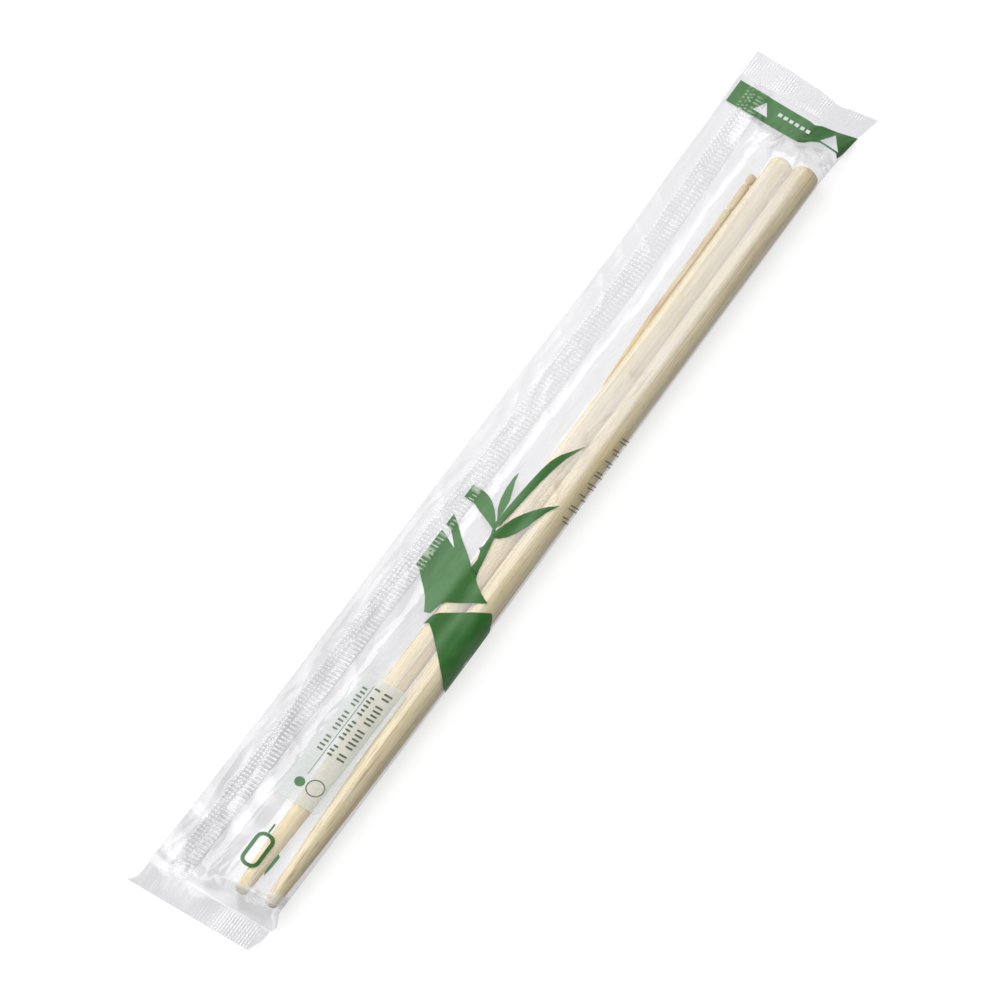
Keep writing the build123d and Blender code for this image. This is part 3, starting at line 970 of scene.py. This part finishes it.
def pick_profile():
    """The toothpick's profile: knob, two turned grooves, straight shank and point."""
    length = setting("bamboo_sizes").pick_length
    body = PICK_RADIUS - 0.1
    profile = rounded_end(PICK_RADIUS, 0.4, 4)
    profile += [(1.7, PICK_RADIUS), (2.05, body - 0.1), (2.4, body - 0.42), (2.85, body - 0.1)]
    profile += [(3.3, body), (9.3, body), (9.6, body - 0.2), (9.95, body - 0.4), (10.4, body)]
    profile += [(place, body) for place in (14.0, 22.0, 30.0, 38.0, 42.0)]
    profile += [(length - 9.0, 0.55), (length - 2.0, 0.24), (length - 0.2, 0.14), (length, 0.0)]
    return profile


# Materials


FILM_IOR = 1.49
WOOD_IOR = 1.5


def clear_film():
    """Clear oriented polypropylene, blown thin. It is glossy and all but colourless.

    The eye sees a slight grey veil over white, sharp highlights on the creases, and a milky
    look. The grey is partly painted shade, and the milky look is a slight real haze with
    painted highlights over the sticks' lit sides, on glint strokes, and on the ribs and
    the seam's dashes.
    """
    sizes = setting("film_sizes")
    material, tree = new_material("clear polypropylene film")
    painted_shade = add_node(tree, "ShaderNodeAttribute", attribute_name="painted_shade").outputs["Fac"]
    haze_and_highlight = add_node(tree, "ShaderNodeAttribute", attribute_name="haze_and_highlight").outputs["Fac"]
    ripples = stretched_noise(tree, 1.1, 3.6, 3.0)
    bump = add_node(
        tree, "ShaderNodeBump", {"Strength": 0.2, "Distance": 0.12 * MM, "Height": ripples}
    ).outputs["Normal"]
    # Painted shade: the darker tint is laid on where the film's painted shade layer is high.
    tint = laid_over(tree, sizes.tint[:], sizes.painted_shade_tint[:], painted_shade)
    through = add_node(tree, "ShaderNodeBsdfTransparent", {"Color": tint})
    gloss = add_node(
        tree,
        "ShaderNodeBsdfGlossy",
        {"Color": linear("#E4E4E6"), "Roughness": 0.18, "Normal": bump},
    )
    # Light meets a thin film alike from inside and from outside, and both of its faces reflect
    inside = add_node(tree, "ShaderNodeNewGeometry").outputs["Backfacing"]
    ior = add_node(
        tree, "ShaderNodeMapRange", {"Value": inside, "To Min": FILM_IOR, "To Max": 1 / FILM_IOR}
    ).outputs["Result"]
    mirror = add_node(tree, "ShaderNodeFresnel", {"IOR": ior, "Normal": bump}).outputs["Fac"]
    share = add_node(tree, "ShaderNodeMath", {0: mirror, 1: 2.0}, operation="MULTIPLY")
    clear = add_node(
        tree,
        "ShaderNodeMixShader",
        {0: share.outputs["Value"], 1: through.outputs["BSDF"], 2: gloss.outputs["BSDF"]},
    )
    veil = add_node(
        tree,
        "ShaderNodeBsdfPrincipled",
        {"Base Color": sizes.haze[:], "Roughness": 0.45, "IOR": FILM_IOR, "Normal": bump},
    )
    streaks = add_node(
        tree,
        "ShaderNodeMapRange",
        {"Value": stretched_noise(tree, 0.9, 12.0, 3.0), "From Min": 0.35, "From Max": 0.7,
         "To Min": 0.8, "To Max": 1.2},
    ).outputs["Result"]
    # Painted highlight: the white veil is mixed in where the film's haze and highlight layer is high.
    haze_and_highlight_share = add_node(tree, "ShaderNodeMath", {0: haze_and_highlight, 1: streaks}, operation="MULTIPLY")
    film = add_node(
        tree,
        "ShaderNodeMixShader",
        {0: haze_and_highlight_share.outputs["Value"], 1: clear.outputs["Shader"], 2: veil.outputs["BSDF"]},
    )
    add_node(tree, "ShaderNodeOutputMaterial", {"Surface": film.outputs["Shader"]})
    return material


def split_bamboo(name, pale, straw, fibre, stain=None):
    """Bamboo culm, split, turned round and sanded, with no finish.

    The eye sees straight pale tissue with darker bundles of fibre along the stick, soft
    blotches of tone, and a dull sheen.
    """
    width = setting("bamboo_sizes").fibre_width
    material, tree = new_material(name)
    fibres = stretched_noise(tree, width, 55.0, 4.0, 0.65)
    blotches = stretched_noise(tree, 7.0, 34.0)
    flecks = stretched_noise(tree, width * 0.6, 3.2, 1.0)
    tone = laid_over(tree, pale, straw, blotches, 0.32, 0.68)
    tone = laid_over(tree, tone, fibre, fibres, 0.48, 0.7, 0.85)
    tone = laid_over(tree, tone, fibre, flecks, 0.58, 0.76, 0.5)
    if stain:
        tone = laid_over(tree, tone, stain, stretched_noise(tree, 3.0, 11.0), 0.48, 0.66, 0.65)
    grain = add_node(
        tree, "ShaderNodeBump", {"Strength": 0.4, "Distance": 0.08 * MM, "Height": fibres}
    )
    sheen = add_node(
        tree,
        "ShaderNodeMapRange",
        {"Value": fibres, "From Min": 0.3, "From Max": 0.7, "To Min": 0.5, "To Max": 0.66},
    )
    wood = add_node(
        tree,
        "ShaderNodeBsdfPrincipled",
        {
            "Base Color": tone,
            "Roughness": sheen.outputs["Result"],
            "IOR": WOOD_IOR,
            "Specular IOR Level": 0.35,
            "Normal": grain.outputs["Normal"],
        },
    )
    add_node(tree, "ShaderNodeOutputMaterial", {"Surface": wood.outputs["BSDF"]})
    return material


def film_ink(name, ink, veiled_and_thin_ink, cover, thin_spots):
    """Gravure ink on the inside of the film, a few microns thick.

    The eye sees an even matt colour with a fine screen of thin spots, through which what
    lies under it shows faintly. A paler colour shows in clouds of thin ink, and as a painted
    reflection veil where the film stands off what it wraps; on the seam's dashes it is
    painted paler, a painted highlight.
    """
    material, tree = new_material(name)
    spots = stretched_noise(tree, 0.5, 0.7, 3.0, 0.6)
    clouds = stretched_noise(tree, 5.0, 12.0)
    dash_highlight = add_node(tree, "ShaderNodeAttribute", attribute_name="dash_highlight").outputs["Fac"]
    off = add_node(tree, "ShaderNodeAttribute", attribute_name="stand_off").outputs["Fac"]
    screen = add_node(tree, "ShaderNodeMix", {"Factor": 0.4, "A": spots, "B": clouds})
    alpha = add_node(
        tree,
        "ShaderNodeMapRange",
        {"Value": screen.outputs["Result"], "From Min": 0.35, "From Max": 0.62,
         "To Min": cover - thin_spots, "To Max": cover},
    )
    cloudy = add_node(
        tree,
        "ShaderNodeMapRange",
        {"Value": clouds, "From Min": 0.42, "From Max": 0.62, "To Max": 0.4},
    )
    veil_and_thin_share = add_node(
        tree,
        "ShaderNodeMath",
        {0: off, 1: 0.75, 2: cloudy.outputs["Result"]},
        operation="MULTIPLY_ADD",
    )
    # Painted reflection veil: paler where the film stands off the sticks, and in clouds of thin ink.
    tone = laid_over(tree, ink, veiled_and_thin_ink, veil_and_thin_share.outputs["Value"])
    # Painted highlight: paler on the seam's dashes.
    tone = laid_over(tree, tone, linear("#D3E0CC"), dash_highlight, 0.2, 0.8, 0.6)
    pigment = add_node(
        tree,
        "ShaderNodeBsdfPrincipled",
        {
            "Base Color": tone,
            "Alpha": alpha.outputs["Result"],
            "Roughness": 0.36,
            "IOR": FILM_IOR,
            "Specular IOR Level": 0.15,
        },
    )
    add_node(tree, "ShaderNodeOutputMaterial", {"Surface": pigment.outputs["BSDF"]})
    return material


def studio_white():
    """A painted studio floor, lit from below, which the camera sees as plain white.

    Its paint is grey, so that it throws little light on the undersides of the part.
    """
    material, tree = new_material("lit studio floor")
    paint = add_node(tree, "ShaderNodeBsdfDiffuse", {"Color": linear("#A8A8A8")}).outputs["BSDF"]
    glow = add_node(tree, "ShaderNodeEmission", {"Color": (1, 1, 1, 1), "Strength": 0.68})
    lit = add_node(tree, "ShaderNodeAddShader", {0: paint, 1: glow.outputs["Emission"]})
    shares = {0: seen_directly(tree), 1: paint, 2: lit.outputs["Shader"]}
    surface = add_node(tree, "ShaderNodeMixShader", shares)
    add_node(tree, "ShaderNodeOutputMaterial", {"Surface": surface.outputs["Shader"]})
    return material


def light_world(level):
    """Even light from all sides, in front of a plain white backdrop."""
    world = bpy.data.worlds.new("studio")
    world.use_nodes = True
    tree = world.node_tree
    tree.nodes.clear()
    shares = {0: seen_directly(tree)}
    for socket, strength in ((1, level), (2, 1.0)):
        light = {"Color": (1, 1, 1, 1), "Strength": strength}
        shares[socket] = add_node(tree, "ShaderNodeBackground", light).outputs["Background"]
    both = add_node(tree, "ShaderNodeMixShader", shares)
    add_node(tree, "ShaderNodeOutputWorld", {"Surface": both.outputs["Shader"]})
    bpy.context.scene.world = world


# Operators


class FILM_OT_sleeve(bpy.types.Operator):
    """Build the film's tube, its two crimped end seals and its back seam"""

    bl_idname = "chopsticks.sleeve"
    bl_label = "Film sleeve"

    def execute(self, context):
        film = clear_film()
        build_tube(film)
        build_opening_seal(film)
        build_closing_seal(film)
        build_seam(film)
        return {"FINISHED"}


class PRINT_OT_printing(bpy.types.Operator):
    """Print the band, the bamboo sprig, the label panel, the plain marks and a painted shadow line on the
    film
    """

    bl_idname = "chopsticks.printing"
    bl_label = "Printing"

    def execute(self, context):
        inks = setting("print_inks")
        green = film_ink("green ink on film", inks.green[:], inks.veiled_and_thin_ink[:], 1.0, 0.06)
        milky = film_ink("thin white ink on film", inks.white[:], inks.veiled_and_thin_white[:], 0.56, 0.1)
        white = film_ink("white ink on film", linear("#F4F4F2"), inks.veiled_and_thin_white[:], 0.95, 0.05)
        dark = film_ink("dark ink on film", inks.dark[:], inks.veiled_and_thin_dark[:], 0.9, 0.25)
        build_print("print_band", [(BAND, *BAND_WINDOWS)], green, 0.3, 0.45)
        sprig = (LONG_LEAF, SMALL_LEAF, RIGHT_LEAF, LEFT_LEAF, STEM, UPPER_CANE, LOWER_CANE)
        build_print("print_sprig", [[outline] for outline in sprig], green)
        build_print("print_slivers", [[SLIVER], [bar(*LEADER)]], green)
        build_print("print_panel", [[rounded_outline(*PANEL, 1.2)]], milky, layer=-INK_LAYER)
        build_print("print_small_marks", small_marks(), dark)
        build_print("print_side_strokes", side_strokes(), dark)
        build_print("print_band_marks", band_marks(), white, layer=INK_LAYER)
        ring = [rounded_outline(*RING, 2.0), rounded_outline(*RING_HOLE, 1.1)]
        build_print("print_ring", [ring], green)
        panel_ring = [round_outline(*PANEL_RING, radius) for radius in (2.1, 1.85)]
        build_print("print_panel_ring", [panel_ring], dark)
        build_print("print_panel_dot", [[round_outline(*PANEL_DOT, 1.2)]], green)
        # Painted shadow: a thin dark line along the thin stick's edge.
        build_print("print_panel_shadow_line", [[bar(*PANEL_SHADOW_LINE)]], dark)
        return {"FINISHED"}


class BAMBOO_OT_sticks(bpy.types.Operator):
    """Turn the two chopsticks and the toothpick"""

    bl_idname = "chopsticks.sticks"
    bl_label = "Bamboo"

    def execute(self, context):
        sizes = setting("bamboo_sizes")
        bamboo = split_bamboo("turned bamboo", sizes.pale[:], sizes.straw[:], sizes.fibre[:])
        pick_wood = split_bamboo(
            "turned bamboo toothpick", sizes.pale[:], sizes.pick_tone[:], sizes.fibre[:], sizes.pick_stain[:]
        )
        for name, radius, butt, drift, bow, node in (
            ("chopstick_thick", THICK_RADIUS, THICK_BUTT, sizes.thick_drift, sizes.thick_bow,
             "chopstick_right"),
            ("chopstick_thin", THIN_RADIUS, THIN_BUTT, sizes.thin_drift, sizes.thin_bow,
             "chopstick_left"),
        ):
            spun_piece(
                name, stick_profile(radius), butt, drift, bow, sizes.stick_length, bamboo, node,
            )
        spun_piece(
            "toothpick_turned", pick_profile(), PICK_HEAD, sizes.pick_drift,
            0.0, sizes.pick_length, pick_wood, "toothpick",
        )
        return {"FINISHED"}


# Where the lamps stand from the pack, how far away in metres, and their sides
KEY_DIRECTION = Vector((-0.76, 0.12, 0.75))
FILL_DIRECTION = Vector((-0.1, -0.4, 1.3))
LAMP_DISTANCE = 1.6
KEY_SIDE = 1.5
FILL_SIDE = 2.0
# A hair under the film, so that the two faces don't lie in one plane
FLOOR_DROP = 0.05


class STAGE_OT_studio(bpy.types.Operator):
    """Set the camera, the white floor, the lamps and the world"""

    bl_idname = "chopsticks.studio"
    bl_label = "Studio"

    def execute(self, context):
        sizes = setting("stage_setup")
        toward = Vector((
            sin(CAMERA_AZIMUTH) * cos(CAMERA_ELEVATION),
            -cos(CAMERA_AZIMUTH) * cos(CAMERA_ELEVATION),
            sin(CAMERA_ELEVATION),
        ))
        right = Vector((cos(CAMERA_AZIMUTH), sin(CAMERA_AZIMUTH), 0))
        up = toward.cross(right)
        data = bpy.data.cameras.new("camera")
        data.lens = sizes.lens
        data.clip_start = 0.1
        data.clip_end = 20.0
        camera = bpy.data.objects.new("camera", data)
        turned = Matrix((right, up, toward)).transposed().to_4x4()
        place = toward * sizes.distance - right * sizes.aim_left - up * sizes.aim_down
        camera.matrix_world = Matrix.Translation(place * MM) @ turned
        context.scene.collection.objects.link(camera)
        context.scene.camera = camera

        bm = bmesh.new()
        bmesh.ops.create_grid(bm, x_segments=1, y_segments=1, size=sizes.floor_side / 2)
        bmesh.ops.translate(bm, vec=(0, 0, -FLOOR_DROP * MM), verts=bm.verts)
        mesh = bpy.data.meshes.new("studio_floor")
        bm.to_mesh(mesh)
        bm.free()
        ground = bpy.data.objects.new("studio_floor", mesh)
        mesh.materials.append(studio_white())
        context.scene.collection.objects.link(ground)

        for name, direction, power, side in (
            ("key lamp", KEY_DIRECTION, sizes.key_power, KEY_SIDE),
            ("fill lamp", FILL_DIRECTION, sizes.fill_power, FILL_SIDE),
        ):
            lamp = bpy.data.lights.new(name, "AREA")
            lamp.energy = power
            lamp.size = side
            lamp_object = bpy.data.objects.new(name, lamp)
            lamp_object.location = direction * LAMP_DISTANCE
            lamp_object.rotation_euler = direction.to_track_quat("Z", "Y").to_euler()
            context.scene.collection.objects.link(lamp_object)
        light_world(sizes.world_level)
        context.scene.view_settings.view_transform = "Standard"
        return {"FINISHED"}


OPERATORS = (STAGE_OT_studio, BAMBOO_OT_sticks, FILM_OT_sleeve, PRINT_OT_printing)


class CHOPSTICKS_PT_panel(bpy.types.Panel):
    """Lists the part's settings and the operators that build it"""

    bl_idname = "CHOPSTICKS_PT_panel"
    bl_label = "Wrapped chopsticks"
    bl_space_type = "VIEW_3D"
    bl_region_type = "UI"
    bl_category = "Chopsticks"

    def draw(self, context):
        for name, group in GROUPS.items():
            box = self.layout.box()
            box.label(text=group.__doc__.split(",")[0].rstrip("."))
            for prop in group.__annotations__:
                box.prop(getattr(context.scene, name), prop)
        for operator in OPERATORS:
            self.layout.operator(operator.bl_idname)


def register():
    for kind in (*GROUPS.values(), *OPERATORS, CHOPSTICKS_PT_panel):
        bpy.utils.register_class(kind)
    for name, group in GROUPS.items():
        setattr(bpy.types.Scene, name, PointerProperty(type=group))


def unregister():
    for name in GROUPS:
        delattr(bpy.types.Scene, name)
    for kind in reversed((*GROUPS.values(), *OPERATORS, CHOPSTICKS_PT_panel)):
        bpy.utils.unregister_class(kind)


def main():
    register()
    bpy.ops.chopsticks.studio()
    bpy.ops.chopsticks.sticks()
    bpy.ops.chopsticks.sleeve()
    bpy.ops.chopsticks.printing()


if __name__ == "__main__":
    main()
